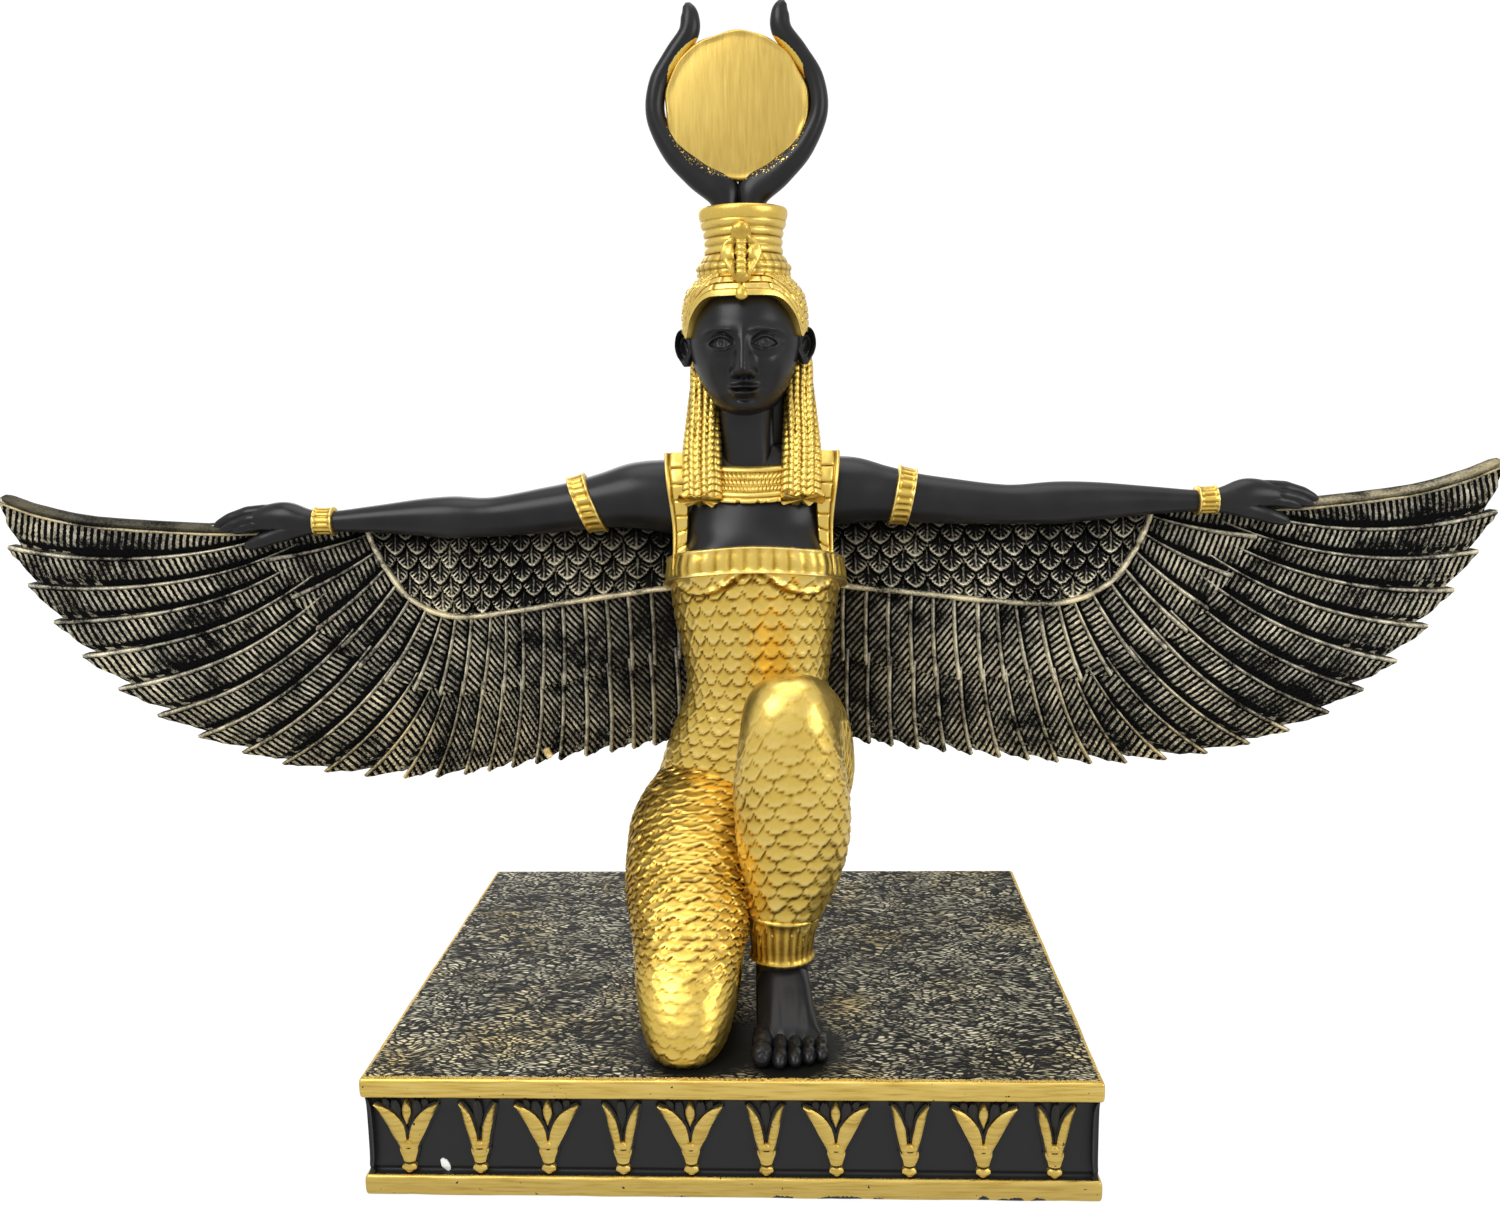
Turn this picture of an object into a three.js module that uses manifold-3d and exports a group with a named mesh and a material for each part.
// A kneeling winged goddess on a rectangular plinth: a small painted resin statuette.
// Millimetres, +Z up. The figure faces -Y. The origin is the middle of the plinth's underside.
import * as THREE from "three";
import { mergeVertices } from "three/addons/utils/BufferGeometryUtils.js";
import Module from "manifold-3d";

const wasm = await Module();
wasm.setup();

// Driving sizes
const plinthWidth = 127;
const plinthDepth = 100;
const plinthTop = 22; // height of the plinth, and of the ground that the figure kneels on
const plateThickness = 3.8; // the two plates that edge the plinth
const friezeInset = 1.9; // how far the hollow of the frieze stands back from the plates
const flowerRelief = 1;
const flowerPitch = 12.35; // lotus flowers along the frieze
const figureShift = 3.2; // the figure stands this far to the right of the plinth's middle
const chinHeight = 133.6;
const faceThird = 6.8; // hairline to brow, brow to nose, nose to chin
const headHalf = [9.9, 11.4, 13.6]; // half the head's width, depth and height
const headY = -2.6; // the head, crown, horns and disc share this depth
const discRadius = 13.3;
const discHeight = 189; // centre of the sun disc
const crownLean = -0.8; // the horns and the disc stand a little to the left of the head
const chestShift = 1; // and the chest, with the hair that lies on it, a little to the right
const wingTurn = (1.8 * Math.PI) / 180; // the arms and wings are turned a little about the upright axis
const wingRoll = (0.4 * Math.PI) / 180; // and higher on the right
const longFeathers = 23; // on each wing
const upperFeathers = 15; // in the row above them
const scaleRows = 3; // of small feathers, between that row and the arm
const wristX = 80;
const wingSpan = 148; // from the figure's middle to a wing tip
const wingBackset = 5; // the wing's middle plane behind the figure's middle
const wingForward = 3.5; // how far the wing tips come forward again
const armHeight = 114.5; // the forearm's centre line
const armY = -1.2;

// Numbers

const clamp01 = (t) => Math.min(1, Math.max(0, t));
const mix = (a, b, t) => a + (b - a) * t;
const ease = (a, b, t) => {
  const s = clamp01((t - a) / (b - a));
  return s * s * (3 - 2 * s);
};
const range = (n) => Array.from({ length: n }, (_, i) => i);

// Smooth curve through rows [t, value, value, ...]: cubics that keep each row's mean slope.
function through(rows) {
  const last = rows.length - 1;
  const slope = (i, k) => {
    const [a, b] = [rows[Math.max(0, i - 1)], rows[Math.min(last, i + 1)]];
    return (b[k] - a[k]) / (b[0] - a[0]);
  };
  return (t) => {
    const next = rows.findIndex((row, i) => i > 0 && (row[0] >= t || i === last));
    const [a, b] = [rows[next - 1], rows[next]];
    const h = b[0] - a[0];
    const s = clamp01((t - a[0]) / h);
    const [s2, s3] = [s * s, s * s * s];
    const value = (k) =>
      (2 * s3 - 3 * s2 + 1) * a[k] +
      (s3 - 2 * s2 + s) * h * slope(next - 1, k) +
      (3 * s2 - 2 * s3) * b[k] +
      (s3 - s2) * h * slope(next, k);
    return range(a.length - 1).map((k) => value(k + 1));
  };
}

// The same for rows without t: they follow each other at equal steps from 0 to 1.
const along = (rows) => through(rows.map((row, i) => [i / (rows.length - 1), ...row]));

// Closed surfaces from points

function surface(points, index) {
  return new THREE.BufferGeometry()
    .setAttribute("position", new THREE.Float32BufferAttribute(points.flat(), 3))
    .setIndex(index);
}

// Rings of points joined one to the next, with a cap on each end.
function loft(rings) {
  const n = rings[0].length;
  const points = rings.flat();
  const index = [];
  for (const r of range(rings.length - 1)) {
    for (const i of range(n)) {
      const j = (i + 1) % n;
      const [a, b, c, d] = [r * n + i, r * n + j, (r + 1) * n + j, (r + 1) * n + i];
      index.push(a, b, c, a, c, d);
    }
  }
  for (const [r, flip] of [[0, true], [rings.length - 1, false]]) {
    points.push([0, 1, 2].map((k) => rings[r].reduce((sum, p) => sum + p[k], 0) / n));
    for (const i of range(n)) {
      const [a, b] = [r * n + i, r * n + ((i + 1) % n)];
      index.push(...(flip ? [b, a] : [a, b]), points.length - 1);
    }
  }
  return surface(points, index);
}

// A slab between a front grid and a back grid with as many columns. Their first and last rows and columns are
// joined round the border, where the back may have fewer rows.
function slab(front, back) {
  const columns = front[0].length;
  const points = [...front.flat(), ...back.flat()];
  const index = [];
  const at = (grid, row, column) => (grid === back ? front.length * columns : 0) + row * columns + column;
  for (const grid of [front, back]) {
    for (const r of range(grid.length - 1)) {
      for (const c of range(columns - 1)) {
        const corners = [at(grid, r, c), at(grid, r, c + 1), at(grid, r + 1, c + 1), at(grid, r + 1, c)];
        const [p, q, s, t] = grid === back ? corners.reverse() : corners;
        index.push(p, q, s, p, s, t);
      }
    }
  }
  const stitch = (a, b) => {
    let [i, j] = [0, 0];
    while (i < a.length - 1 || j < b.length - 1) {
      const stepA = j === b.length - 1 || (i < a.length - 1 && (i + 1) / a.length <= (j + 1) / b.length);
      index.push(b[j], a[i], stepA ? a[i + 1] : b[j + 1]);
      if (stepA) i += 1;
      else j += 1;
    }
  };
  const row = (grid, r) => range(columns).map((c) => at(grid, r, c));
  const column = (grid, c) => range(grid.length).map((r) => at(grid, r, c));
  stitch(row(back, 0), row(front, 0));
  stitch(row(front, front.length - 1), row(back, back.length - 1));
  stitch(column(front, 0), column(back, 0));
  stitch(column(back, columns - 1), column(front, columns - 1));
  return surface(points, index);
}

// A ring of points round a centre: one half width across it, another above and a third below.
function ring(centre, across, up, half, upper, lower, sides) {
  return range(sides).map((i) => {
    const angle = (2 * Math.PI * i) / sides;
    const [c, s] = [Math.cos(angle) * half, Math.sin(angle)];
    return [0, 1, 2].map((k) => centre[k] + across[k] * c + up[k] * s * (s > 0 ? upper : lower));
  });
}

// A limb along a path: rows [x, y, z, half width across, and half on its two other sides], the first of
// them the side that path x across points to. It has a ring at each row, or at each step of the path.
function limb(rows, side, sides, steps = rows.length - 1) {
  const at = along(rows);
  const sideVector = new THREE.Vector3(...side);
  const rings = range(steps + 1).map((i) => {
    const t = i / steps;
    const [x, y, z, half, upper, lower] = at(t);
    const [a, b] = [at(Math.max(0, t - 0.01)), at(Math.min(1, t + 0.01))];
    const tangent = new THREE.Vector3(b[0] - a[0], b[1] - a[1], b[2] - a[2]).normalize();
    const across = sideVector.clone().addScaledVector(tangent, -tangent.dot(sideVector)).normalize();
    const up = new THREE.Vector3().crossVectors(tangent, across);
    return ring([x, y, z], across.toArray(), up.toArray(), half, upper, lower, sides);
  });
  return loft(rings);
}

// An upright form with a ring at each row: [z, x, y, half width, depth in front, depth behind].
function upright(rows, sides) {
  const [across, forward] = [[1, 0, 0], [0, -1, 0]];
  return loft(
    rows.map(([z, x, y, half, front, back]) => ring([x, y, z], across, forward, half, front, back, sides)),
  );
}

const ball = (centre, half, wide, high) =>
  new THREE.SphereGeometry(1, wide, high).scale(...half).translate(...centre);

const mirrored = (geometry) => geometry.clone().scale(-1, 1, 1);

// Solids

function solid(geometry) {
  const bare = geometry.index ? geometry.toNonIndexed() : geometry;
  const position = new THREE.BufferGeometry().setAttribute("position", bare.getAttribute("position"));
  const merged = mergeVertices(position, 1e-4);
  const vertProperties = merged.attributes.position.array;
  // Triangles that have shrunk to a line are left out.
  const corners = range(merged.index.count / 3).map((i) => [...merged.index.array.slice(3 * i, 3 * i + 3)]);
  const triVerts = new Uint32Array(corners.filter(([a, b, c]) => a !== b && b !== c && c !== a).flat());
  const made = new wasm.Manifold(new wasm.Mesh({ numProp: 3, vertProperties, triVerts }));
  if (made.volume() > 0) return made;
  const turned = triVerts.map((_, i) => triVerts[i % 3 === 2 ? i : i + (i % 3 === 0 ? 1 : -1)]);
  return new wasm.Manifold(new wasm.Mesh({ numProp: 3, vertProperties, triVerts: turned }));
}

const joined = (geometries) => geometries.map(solid).reduce((a, b) => a.add(b));

// Plinth

// Half of a flower's outline, from its foot, up its side and down to the middle of the flower. The wide one
// has a bud between its petals, which is left out on the sides and the back.
const wideFlower = [[1.2, 0], [2.4, 6.4], [5.4, 11.8], [1.6, 8.4], [1.1, 10.8], [0, 12.6]];
const plainWideFlower = [[1.2, 0], [2.4, 6.4], [5.4, 11.8], [0, 7]];
const narrowFlower = [[0.9, 0], [1.9, 6], [3.1, 11.8], [0, 4.8]];

// The whole outline, raised from the frieze.
function relief(half, height) {
  const left = half.filter(([x]) => x > 0).map(([x, z]) => [-x, z]).reverse();
  const shape = new THREE.Shape([...half, ...left].map(([x, z]) => new THREE.Vector2(x, z)));
  return new THREE.ExtrudeGeometry(shape, { depth: height, bevelEnabled: false }).rotateX(Math.PI / 2);
}

// One side of the frieze: wide and narrow flowers by turns, facing -Y before it is turned to its side.
function flowerRow(wide, count, distance, turn) {
  const [sunk, foot] = [0.4, plateThickness + 0.8];
  return range(count).map((i) => {
    const x = (i - (count - 1) / 2) * flowerPitch;
    const flower = relief(i % 2 ? narrowFlower : wide, flowerRelief + sunk);
    return flower.translate(x, friezeInset + sunk - distance, foot).rotateZ(turn);
  });
}

function plinth() {
  const upperPlate = plinthTop - plateThickness;
  const round = 0.5; // of the plates' edges
  const hollow = 0.9; // how much deeper the frieze is in its middle than at its top
  const edge = [
    // set-back from the plates' edge, height
    [round, 0], [0, round], [0, plateThickness - round], [round, plateThickness],
    [friezeInset - hollow, plateThickness + 0.4], [friezeInset, plateThickness + 4],
    [friezeInset, upperPlate - 4.4], [friezeInset - hollow, upperPlate],
    [0, upperPlate + round], [0, plinthTop - round], [round, plinthTop],
  ];
  const rings = edge.map(([inset, z]) => {
    const [x, y] = [plinthWidth / 2 - inset, plinthDepth / 2 - inset];
    return [[-x, -y, z], [x, -y, z], [x, y, z], [-x, y, z]];
  });
  return joined([
    loft(rings),
    ...flowerRow(wideFlower, 10, plinthDepth / 2, 0),
    ...flowerRow(plainWideFlower, 10, plinthDepth / 2, Math.PI),
    ...flowerRow(plainWideFlower, 7, plinthWidth / 2, Math.PI / 2),
    ...flowerRow(plainWideFlower, 7, plinthWidth / 2, -Math.PI / 2),
  ]);
}

// Body and legs

const torsoAt = through([
  // z, x, y, half width, front, back
  [41, 0.5, 4, 6, 5, 6],
  [44.5, 0, 3.5, 14.6, 9, 10.8],
  [54, -0.8, 2.5, 19.6, 12, 13],
  [62, 0.3, 1.6, 19.2, 12, 13.2],
  [70, 0.8, 0.6, 17, 11, 11],
  [79, 1.1, -0.5, 14, 9.8, 8.6],
  [87, 1.1, -1, 14.6, 10.4, 8.4],
  [94, 0.9, -1, 15.8, 11.4, 9.4],
  [101, 1.1, -0.8, 16.4, 12, 10],
  [108, 1.1, -0.2, 15.2, 11.2, 9.6],
  [116, 1, 0.2, 16, 9.4, 8.8],
  [121, 0.8, 0.2, 15.6, 7, 7.4],
  [124.6, 0.5, 0, 12, 4.8, 5.6],
  [127, 0.2, 0, 7, 4, 4.4],
]);

// The band across the bust: its level, how much higher it is in front, its height and how far it stands out.
const band = { level: 102, tilt: 2.4, height: 5.2, lift: 1.5 };
// Each breast: its angle from the front, its spread round the torso, its height and its rise.
const bust = { angle: 0.62, spread: 0.34, height: 5, rise: 2.6 };

// A point on the torso's skin at an angle from the front, pushed out by lift.
function onTorso(z, angle, lift) {
  const [x, y, half, front, back] = torsoAt(z);
  const [s, c] = [Math.sin(angle), Math.cos(angle)];
  const near = (z - band.level) / bust.height;
  const breast = bust.rise * Math.exp(-(near ** 2) - ((Math.abs(angle) - bust.angle) / bust.spread) ** 2);
  const out = lift + breast;
  const raised = band.tilt * c * Math.exp(-((near / 3) ** 2));
  return [x + (half + out) * s, y - ((c > 0 ? front : back) + out) * c, z + raised];
}

// The torso, with the band across the bust standing proud of it.
function torso() {
  const sides = 14;
  const [foot, top] = [band.level - band.height / 2, band.level + band.height / 2];
  const below = [41, 44.5, 54, 62, 70, 79, 87, 94];
  const above = [110, 116, 121, 124.6, 127];
  const levels = [...below, foot - 0.2, foot, top, top + 0.2, ...above];
  return loft(
    levels.map((z) =>
      range(sides).map((i) => {
        const turn = (2 * Math.PI * i) / sides;
        const lift = z === foot || z === top ? band.lift : 0;
        return onTorso(z, turn > Math.PI ? turn - 2 * Math.PI : turn, lift);
      }),
    ),
  );
}

const raisedThigh = [
  // x, y, z, half width, above, below
  [7, 6, 54.5, 11.4, 11, 10],
  [9.4, -8, 64.5, 10.8, 9.8, 10],
  [9.8, -20, 73.5, 9.8, 9, 9],
  [9.2, -29, 79.2, 8, 7.8, 8],
  [8.8, -33, 81, 4.5, 4.4, 4.4],
];

const raisedShin = [
  // down from the knee: x, y, z, half width, front, back
  [9.2, -31, 87.2, 3.4, 3, 4],
  [8.9, -30.2, 83.5, 7, 6.4, 7],
  [8.6, -29.2, 76, 9.4, 8, 9],
  [8.8, -28.2, 67, 10.6, 8, 10.2],
  [8.6, -27.2, 58, 10, 7.2, 9.8],
  [7.7, -26.2, 49.5, 8.5, 6.2, 8],
  [6.1, -25.6, 41, 6, 5.4, 5.8],
  [6.1, -25.6, 40.8, 6.6, 6, 6.4], // the hem's two rings and the pleated band between them
  [6, -25.6, 39, 6.4, 5.8, 6.2],
  [6, -25.6, 38.8, 5.9, 5.4, 5.7],
  [5.9, -25.5, 33.4, 5.2, 5, 5.2],
  [5.9, -25.5, 33.2, 5.7, 5.5, 5.7],
  [5.9, -25.5, 32, 5.6, 5.4, 5.6],
  [5.8, -25.5, 31.8, 4.7, 4.6, 4.8],
  [5.8, -25.6, 27.5, 4.5, 4.6, 5.4],
];

const raisedFoot = [
  // from the heel to the root of the toes: x, y, z, half width, above, below
  [5.8, -19.2, 25.8, 3.2, 3, 3.7],
  [5.8, -22.5, 26.8, 4.4, 4.6, 4.7],
  [6.2, -29, 27.4, 4.8, 4.4, 5.3],
  [7, -36, 25.6, 5.6, 3, 3.5],
  [7.3, -42, 24.2, 5.7, 1.8, 2.1],
  [7.3, -44, 23.7, 5, 1.2, 1.6],
];

const kneelingThigh = [
  // x, y, z, half width, above, below
  [-8, 7, 57, 12, 11.5, 10.5],
  [-10.6, -7, 52, 12.9, 11.4, 11],
  [-11.3, -20, 44, 12, 10.8, 10.6],
  [-10.6, -32, 36, 10.4, 9.8, 10.4],
  [-10.4, -39.5, 31.2, 9, 8, 9.4],
  [-10.3, -44, 28.4, 5, 4.4, 4.8],
];

const kneelingShin = [
  // from the knee back: x, y, z, half width, below, above
  [-10.3, -46.6, 26.6, 2, 2, 2.2],
  [-10.3, -44.4, 27.4, 6, 5.2, 5.8],
  [-10.4, -38, 29.4, 8.8, 8, 8],
  [-10.8, -20, 31.4, 9, 9, 9.2],
  [-11, -6, 31, 8.4, 8.4, 8.8],
  [-11, 8, 29.4, 6.4, 6.6, 7],
  [-11, 18, 28.6, 5, 5, 5.6],
  [-11, 24, 29.5, 4.4, 4.6, 5.4],
];

const kneelingFoot = [
  // the heel up, the toes bent on the ground: x, y, z, half width, front, back
  [-11, 23.5, 37, 3.4, 3.4, 3],
  [-11, 25.2, 32, 4.4, 4.6, 4.2],
  [-11, 27.5, 27, 5, 3.4, 3.6],
  [-11, 30, 24, 5.4, 2.4, 2.6],
  [-11, 35, 23.4, 5, 1.4, 1.6],
];

const sideways = [1, 0, 0];

// Five toes side by side, the first the largest and each next one a little shorter.
const toes = range(5).map((i) => {
  const size = i === 0 ? 1.6 : 1.25 - 0.07 * i;
  const place = [3.1 + 2.1 * i + (i > 0 ? 0.5 : 0), 0.18 * i * i - 45.2, 23.3];
  return ball(place, [size, size * 1.9, size], 5, 3);
});

const legs = () => [
  limb(raisedThigh, sideways, 10, 4),
  limb(raisedShin, sideways, 10),
  limb(raisedFoot, sideways, 8, 5),
  limb(kneelingThigh, sideways, 12, 5),
  limb(kneelingShin, sideways, 10),
  limb(kneelingFoot, sideways, 8, 4),
  ...toes,
];

// The dress's shoulder straps and the collar: patches laid on the torso, from rows [z, from angle, to angle].
function patch(rows, lift, shares) {
  const grid = (height) =>
    rows.map(([z, from, to]) => shares.map((share) => onTorso(z, mix(from, to, share), height)));
  return slab(grid(lift), grid(-2));
}

function trim() {
  const strap = [[103, 0.62, 0.94], [110, 0.64, 0.98], [117, 0.7, 1.1], [124, 0.95, 1.4]];
  const collar = [[115, -0.5, 0.5], [120, -0.56, 0.56], [125, -1, 1]];
  const straps = [1, -1].map((side) => patch(strap.map(([z, a, b]) => [z, side * a, side * b]), 0.9, [0, 1]));
  return [...straps, patch(collar, 1, [0, 0.5, 1])];
}

// Head, wig and crown

// The face is set out in thirds and in fifths. Bumps on the egg of the head: x, height over the chin in
// thirds, spread across and upwards, rise.
const eyeWidth = (2 * headHalf[0]) / 5;
const faceBumps = [
  [0, 1.75, 1.2, 1.6, 1], // bridge of the nose
  [0, 1.22, 1.8, 1.2, 2.1], // tip of the nose
  [0, 0.66, 2.9, 1.1, 1.1], // lips
  [0, 0.12, 3, 1.8, 1], // chin
  ...[-eyeWidth, eyeWidth].flatMap((x) => [
    [x, 1.8, 2, 1.7, -0.9], // eye socket
    [x, 1.78, 1.6, 0.8, 0.8], // eye
    [x, 2.12, 2.6, 0.8, 0.5], // brow
  ]),
];

function head() {
  const [wide, high] = [18, 13];
  const centre = chinHeight + headHalf[2];
  const towardsFront = (angle) => angle - 0.5 * Math.sin(angle); // closer columns on the face
  const rings = range(high - 1).map((j) => {
    const polar = (Math.PI * (j + 1)) / high;
    return range(wide).map((i) => {
      const turn = towardsFront((2 * Math.PI * i) / wide);
      const [out, z] = [Math.sin(polar), Math.cos(polar)];
      const [across, back] = [out * Math.sin(turn), -out * Math.cos(turn)];
      const low = ease(0, -1, z);
      const [x, height] = [headHalf[0] * across * (1 - 0.2 * low), centre + headHalf[2] * z];
      if (back >= 0) return [x, headY + headHalf[1] * back, height];
      const rise = faceBumps.reduce((sum, [bumpX, thirds, wideness, tallness, bump]) => {
        const up = height - chinHeight - thirds * faceThird;
        return sum + bump * Math.exp(-(((x - bumpX) / wideness) ** 2) - (up / tallness) ** 2);
      }, 0);
      const jaw = out ** (-0.5 * low); // carries the chin forward from the egg's round end
      return [x, headY + 0.88 * headHalf[1] * back * jaw - rise, height];
    });
  });
  const ear = ball([11.2, -1, chinHeight + 11.6], [1.8, 1.5, 3.8], 6, 6);
  const neckRows = [[119, 0, 0, 6.6, 5.6, 6], [127, 0, -1, 5.6, 5, 6], [138, 0, -2, 5.8, 5.2, 7]];
  return [loft(rings), ear, mirrored(ear), upright(neckRows, 8)];
}

// The cap and, on it, the ribbed drum that narrows to a waist under a plain rim.
function cap() {
  const [ribs, ribPitch, drumFoot, rim] = [3, 2.8, 161, 8.3];
  const ribRows = range(ribs).flatMap((i) => {
    const radius = 7.6 - 0.8 * Math.sin((Math.PI * (i + 0.5)) / ribs);
    return [[0, -0.35], [0.5, 0.2]].map(([up, out]) => [drumFoot + ribPitch * (i + up), radius + out]);
  });
  const drum = [[158.8, 8.1], [160.4, 8.1], ...ribRows, [169.9, rim], [171.2, rim]];
  return upright(
    [
      // z, x, y, half width, front, back
      [141, 0, 3, 9.6, 2, 9],
      [147, 0, 1.6, 11.4, 4, 10.6],
      [151.6, 0, -1.4, 11.7, 10, 12.4],
      [155.5, 0, -2.2, 10.8, 9.8, 11.6],
      [158.5, 0, headY, 9, 8.6, 9.2],
      ...drum.map(([z, radius]) => [z, 0, headY, radius, radius, radius]),
    ],
    12,
  );
}

function wig() {
  const lappet = [
    // x, y, z, half width, front, back
    [9.2, 1.4, 145, 1.6, 2.4, 2],
    [9.1, -0.4, 138, 2.4, 2.2, 2.6],
    [9.3, -2.6, 131, 2.9, 2, 2.8],
    [9.6, -6, 124.5, 3.4, 2, 2.8],
    [9.3, -9.2, 118.5, 3.4, 1.7, 2.4],
    [9, -10.6, 114.8, 3.3, 1.4, 2],
  ];
  const behind = [
    // z, x, y, half width, front, back
    [104, 1.1, 8.8, 9, 2, 2.6],
    [112, 1.1, 8.2, 10.2, 3, 3.4],
    [124, 1, 5.6, 10.2, 4, 4.6],
    [132, 0.8, 4, 9.8, 4, 6],
    [142, 0.4, 3.2, 10.2, 3, 8.2],
    [148, 0, 2.4, 11, 3, 9],
  ];
  const lock = limb(lappet, sideways, 6, 4);
  const locks = [lock, mirrored(lock)].map((form) => form.translate(chestShift, 0, 0));
  return [cap(), ...locks, upright(behind, 10)];
}

// The cobra on the front of the crown, its hood spread.
function cobra() {
  return limb(
    [
      // x, y, z, half width, back, front
      [0, -12, 152.6, 1.5, 1.2, 1.2],
      [0, -12.4, 156, 1.6, 1.6, 1.3],
      [0, -11.9, 160.5, 2.9, 2.4, 1],
      [0, -11, 165, 3.7, 2.6, 0.9],
      [0, -10.9, 168.2, 2.2, 1.8, 1.2],
      [0, -11.3, 170.4, 1, 0.8, 0.8],
    ],
    sideways,
    6,
  );
}

function hornsAndDisc() {
  const horn = [
    // x, y, z, half depth, inner half, outer half
    [1.6, headY, 169.6, 2.6, 2.8, 2.4],
    [3.4, headY, 173, 2.6, 5, 2.4],
    [7.8, headY, 177.2, 2.4, 3.6, 2.2],
    [12.6, headY, 182.2, 2.2, 2, 1.8],
    [15.1, headY, 188, 2, 1.8, 1.7],
    [14.4, headY, 193.6, 1.9, 1.7, 1.7],
    [11.4, headY, 198.4, 1.8, 1.8, 1.8],
    [8.8, headY, 202.2, 1.7, 1.9, 1.7],
    [8.3, headY, 205.2, 1.4, 1.6, 1.6],
    [9.2, headY, 207.7, 0.8, 0.9, 0.8],
  ];
  const [rim, middle] = [1.7, 2.5]; // half the disc's thickness
  const points = [[0, -middle], [discRadius - 0.8, -rim], [discRadius, 0.6 - rim]];
  const profile = [...points, ...points.map(([radius, y]) => [radius, -y]).reverse()];
  const lathe = new THREE.LatheGeometry(profile.map(([radius, y]) => new THREE.Vector2(radius, y)), 22);
  const one = limb(horn, [0, 1, 0], 6);
  const leaning = [one, mirrored(one), lathe.translate(0, headY, discHeight)];
  return leaning.map((form) => form.translate(crownLean, 0, 0));
}

// Wings: worked out in X (outwards) and Z for the right-hand one. The other is its mirror.

// A curve as a function of the share of its length, from a table of lengths.
function byLength(rows) {
  const curve = along(rows);
  const points = range(241).map((i) => curve(i / 240));
  const runs = [0];
  for (const i of range(240)) {
    const [a, b] = [points[i], points[i + 1]];
    runs.push(runs[i] + Math.hypot(b[0] - a[0], b[1] - a[1]));
  }
  return (share) => {
    const run = clamp01(share) * runs[240];
    const next = Math.max(1, runs.findIndex((r) => r >= run));
    const t = (run - runs[next - 1]) / (runs[next] - runs[next - 1]);
    return [0, 1].map((k) => mix(points[next - 1][k], points[next][k], t));
  };
}

// The raised rib under the small feathers, from the wrist round to the body.
const ribAt = byLength([
  [80, 114], [78.8, 109.5], [76.2, 104], [72.4, 98.8], [66.6, 95.3], [59.4, 94.2], [48.4, 95], [37.2, 96.4],
  [26, 97.8], [16, 99], [6, 100],
]);
// The tips of the upper row.
const upperAt = byLength([
  [104, 114.4], [101.2, 107.4], [96, 98.4], [89, 89], [79.6, 81.6], [69.6, 78.4], [57.6, 77.8], [42, 78.8],
  [28, 81.2], [16, 83.6], [6, 85],
]);
// The tips of the long feathers, from the wing tip round to the body.
const tipAt = byLength([
  [wingSpan, 120.6], [147.2, 110.6], [140.4, 96.2], [130, 81.4], [117, 70.7], [102, 64.4], [85.4, 61.2],
  [69.8, 60.4], [51, 62], [34.8, 64], [20, 66], [6, 68],
]);

// Shares of an edge at which each of count feathers starts, where their widths run from outer to inner.
function starts(count, outer, inner) {
  const widths = range(count).map((i) => mix(outer, inner, ease(0.2, 0.75, i / count)));
  const sum = widths.reduce((a, b) => a + b);
  return [0, ...widths.map((_, i) => widths.slice(0, i + 1).reduce((a, b) => a + b) / sum)];
}

// The place of feather number v, which may be a fraction, among those starts.
const placed = (shares, v) => {
  const i = Math.min(shares.length - 2, Math.floor(v));
  return mix(shares[i], shares[i + 1], v - i);
};

const wingPlane = (x) => wingBackset - wingForward * (x / wingSpan) ** 2;

// Columns of the grid: [feather, lift]. The long feathers have two each (shaft, far edge) and the upper ones
// three. The scales are as wide as the upper feathers, with a column in the middle of each.
const longColumns = range(longFeathers).flatMap((i) => [[i, 0.8], [i + 0.93, 0]]);
const upperColumns = range(upperFeathers).flatMap((i) => [[i, 0.8], [i + 0.16, 0.4], [i + 0.94, 0]]);
const lastPlace = upperFeathers - 0.001;
upperColumns.push([lastPlace, 0]);
const scaleColumns = upperColumns.map((_, c) => Math.min(lastPlace, Math.floor(c / 3) + (c % 3) * 0.495));

const ribShares = starts(upperFeathers, 3.4, 5);
const upperShares = starts(upperFeathers, 7.4, 5);
const longShares = starts(longFeathers, 6.4, 3.8);
const tipShares = starts(longFeathers, 9.4, 5);

// A point on a row of feathers between two edges: t is the share of the way, bow its sideways curve, and the
// tip of each feather is cut back by notch towards the next one.
function onRow(from, to, fromShares, toShares, v, t, bow, notch) {
  const [a, b] = [from(placed(fromShares, v)), to(placed(toShares, v))];
  const [dx, dz] = [b[0] - a[0], b[1] - a[1]];
  const length = Math.hypot(dx, dz);
  const reach = t * (1 - (notch / length) * ease(0, 0.9, v - Math.floor(v)));
  const side = 4 * bow * reach * (1 - reach);
  return [a[0] + dx * reach + dz * side, a[1] + dz * reach - dx * side];
}

const onUpper = (v, t) => onRow(ribAt, upperAt, ribShares, upperShares, v, t, 0.03, 2.2);
const longBow = (v) => mix(0.07, 0.02, v / longFeathers);
const onLong = (v, t) => onRow(upperAt, tipAt, longShares, tipShares, v, t, longBow(v), 3.2);

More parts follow.
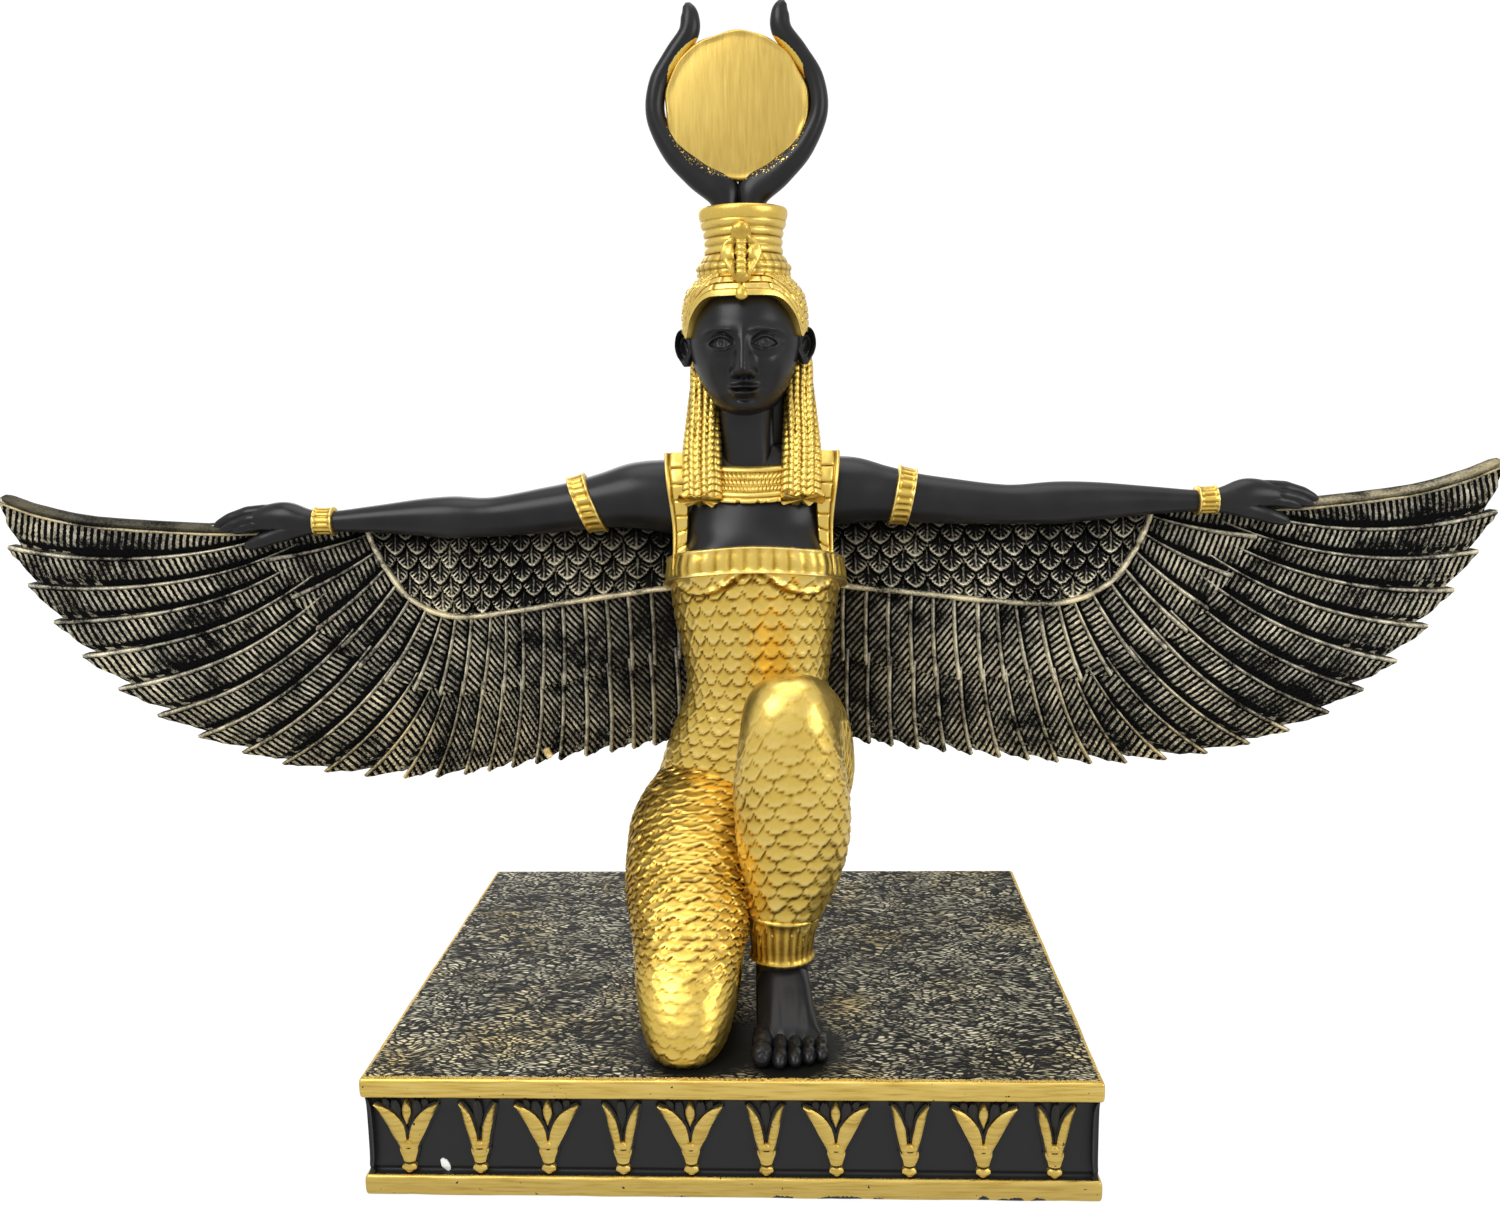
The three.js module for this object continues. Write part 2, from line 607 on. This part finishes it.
// The front and back of the wing, row by row from inside the arm down to the feather tips.
function wingGrids() {
  const upperRow = (t, front, relief) =>
    upperColumns.map(([v, lift]) => {
      const [x, z] = onUpper(v, t);
      return [x, wingPlane(x) - front - relief * lift, z];
    });
  const longRow = (t, depth, relief, side) =>
    longColumns.map(([v, lift]) => {
      const [x, z] = onLong(v, t);
      return [x, wingPlane(x) + side * (depth + relief * lift), z];
    });
  // A line across the small feathers, t of the way from the arm to the rib, lower by zigzag at their points.
  const scaleRow = (t, front, zigzag, odd) =>
    scaleColumns.map((v, c) => {
      const [ribX, ribZ] = ribAt(placed(ribShares, v));
      const point = (c % 3 === 1) === odd ? 0 : zigzag;
      const x = mix(ribX, mix(wristX, 6, v / upperFeathers), 0.5 * (1 - t));
      return [x, wingPlane(x) - front, mix(armHeight, ribZ, t + point)];
    });
  const hidden = (side) =>
    upperColumns.map((_, c) => {
      const share = (c - (c % 3)) / (upperColumns.length - 1);
      return [mix(wristX, 6, share), armY + side, armHeight];
    });
  const scales = range(scaleRows).flatMap((r) => {
    const [t, last] = [(r + 0.75) / (scaleRows + 0.4), r === scaleRows - 1];
    const zigzag = last ? 0.1 : 0.16;
    return [scaleRow(t, 2.9, zigzag, r % 2 === 1), scaleRow(t + 0.02, 2.2, zigzag, r % 2 === 1)];
  });
  const front = [
    hidden(-1),
    ...scales,
    upperRow(0, 3.6, 0),
    upperRow(0.07, 2.5, 0.7),
    upperRow(1, 2.1, 1),
    upperRow(1.01, 1.1, 0),
    longRow(0.35, 1.1, 1, -1),
    longRow(1, 0.7, 1, -1),
  ];
  const back = [hidden(1), scaleRow(0.08, -1.8, 0, true), upperRow(1, -1.4, -0.6), longRow(1, 0.7, 0.7, 1)];
  return [front, back];
}

// One arm, straight out from the shoulder, with its two bands and its hand closed on the wing's front edge.
function arm() {
  const depthways = [0, 1, 0];
  const flesh = [
    // x, y, z, half depth, half height above, half height below
    [10, 0, 117, 6.4, 7.2, 7],
    [21, -1, 117.5, 6.2, 6.9, 6.6],
    [30.4, armY, 116.4, 4.8, 5.2, 5.2],
    [30.6, armY, 116.4, 5.3, 5.8, 5.8], // armlet
    [34.2, armY, 116, 5, 5.4, 5.4],
    [34.4, armY, 116, 4.4, 4.8, 4.8],
    [44, armY, 114.9, 3.8, 3.9, 3.9],
    [52, armY, 114.2, 3.5, 3.6, 3.6],
    [61, armY, armHeight, 3.6, 3.9, 3.9],
    [73, armY, armHeight, 2.9, 3, 3],
    [84.4, armY, 114.1, 2.2, 2.2, 2.2],
    [84.6, armY, 114.1, 2.8, 2.9, 2.9], // bracelet
    [88.2, armY, 114.1, 2.7, 2.8, 2.8],
    [88.4, armY, 114.1, 2.1, 2, 2],
    [92, -0.8, 114.4, 2.4, 2.7, 2.6],
    [96, -0.2, 114.6, 2.8, 3.3, 3.2],
    [99, 0.4, 114.6, 2.6, 2.2, 2],
  ];
  const fingers = [
    [94, 0.6, 115.6, 2.6, 2.2, 1.6],
    [98, 1, 116.4, 3.4, 1.6, 1.4],
    [103, 1.6, 115.6, 3.4, 1.3, 1.2],
    [108, 2.2, 113.9, 2.6, 0.8, 0.8],
  ];
  const thumb = [
    [92, -1.4, 113, 1.4, 1.4, 1.6],
    [96.5, -1.6, 111.2, 1.3, 1.2, 1.2],
    [101.5, -1, 109.2, 0.8, 0.8, 0.8],
  ];
  return [limb(flesh, depthways, 8), limb(fingers, depthways, 6), limb(thumb, depthways, 5)];
}

// The whole figure is one casting.
function figure() {
  const oneSide = [...arm(), slab(...wingGrids())];
  const bothSides = [...oneSide, ...oneSide.map(mirrored)];
  const wings = bothSides.map((form) => form.rotateY(-wingRoll).rotateZ(wingTurn));
  const body = [torso(), ...legs(), ...trim(), ...head(), ...wig(), cobra(), ...hornsAndDisc()];
  const whole = joined([...body, ...wings].map((form) => form.translate(figureShift, 0, 0)));
  // The knee, the shin and the feet are flat where they rest on the plinth.
  const below = new THREE.BoxGeometry(plinthWidth, plinthDepth, plinthTop).translate(0, 0, plinthTop / 2);
  return whole.subtract(solid(below));
}

// Scene

function mesh(name, made, look) {
  const { vertProperties, triVerts } = made.getMesh();
  const geometry = new THREE.BufferGeometry()
    .setAttribute("position", new THREE.BufferAttribute(new Float32Array(vertProperties), 3))
    .setIndex(new THREE.BufferAttribute(new Uint32Array(triVerts), 1));
  const part = new THREE.Mesh(geometry, new THREE.MeshStandardMaterial(look));
  part.name = name;
  return part;
}

const statuette = new THREE.Group();
statuette.add(
  mesh("plinth", plinth(), { color: 0x1c1b19, roughness: 0.6, metalness: 0.1 }),
  mesh("winged_figure", figure(), { color: 0xb98a2c, roughness: 0.35, metalness: 0.8 }),
);

export default statuette;
